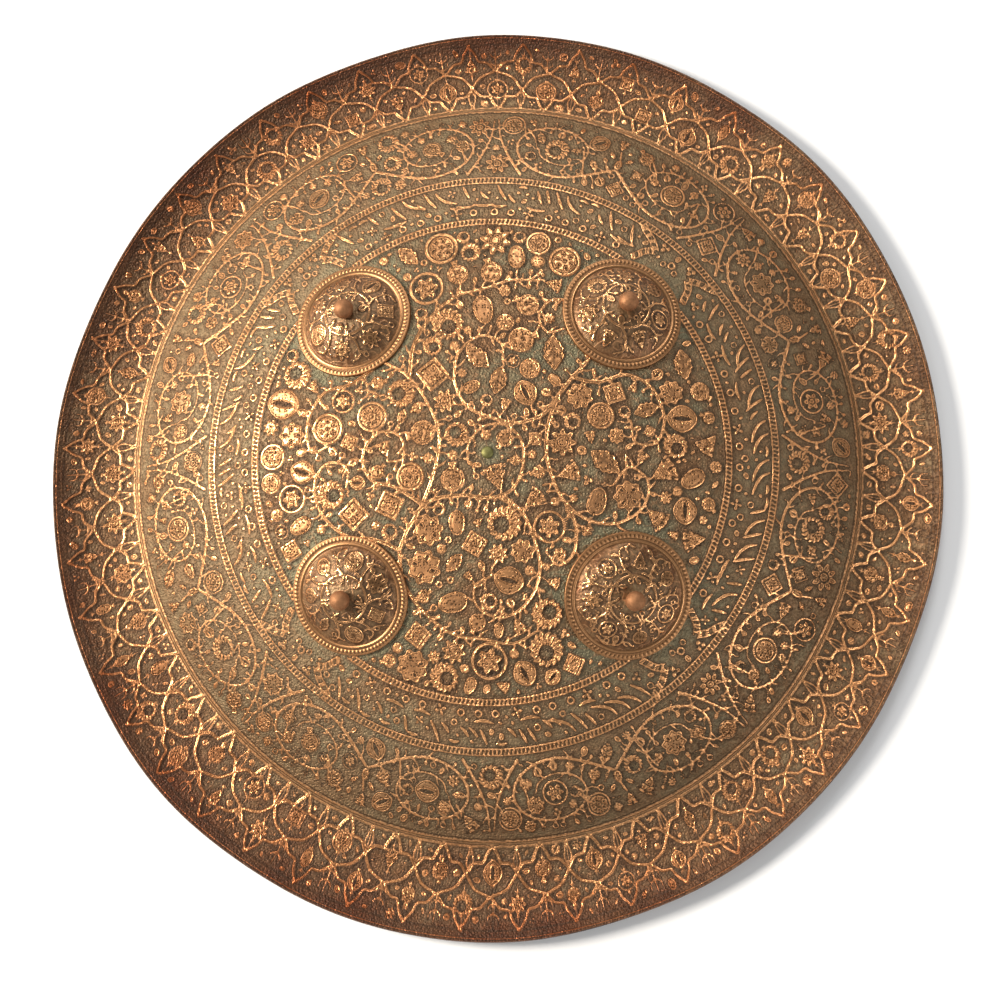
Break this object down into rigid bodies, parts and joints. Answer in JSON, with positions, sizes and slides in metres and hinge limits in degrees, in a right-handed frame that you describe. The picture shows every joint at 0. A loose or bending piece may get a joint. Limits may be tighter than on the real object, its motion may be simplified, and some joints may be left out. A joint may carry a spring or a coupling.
{
  "type": "round shield",
  "caption": "Round domed copper shield with a turned-up rim, chased floral scrolls and strapwork, and riveted domed bosses with ball knobs.",
  "frame": {"origin": "middle of the outline, on the plane that the ring under the rim rests on", "axes": "+Z out of the face, +Y towards the upper edge of the face, +X to its right"},
  "size_m": [0.4462, 0.4573, 0.0712],
  "materials": {
    "chased_copper": "worn copper, bright on the raised work, olive and green patina in the ground",
    "boss_copper": "darker copper, rubbed smooth on the crown",
    "knob_copper": "smooth rubbed copper",
    "green_brass": "dull yellow-green brass"
  },
  "bodies": {
    "root": {"shield_body": "chased_copper", "boss_upper_left": "boss_copper", "boss_upper_right": "boss_copper", "boss_lower_left": "boss_copper", "boss_lower_right": "boss_copper", "knob_rivet_upper_left": "knob_copper", "knob_rivet_upper_right": "knob_copper", "knob_rivet_lower_left": "knob_copper", "knob_rivet_lower_right": "knob_copper", "centre_rivet": "green_brass"}
  },
  "joints": []
}
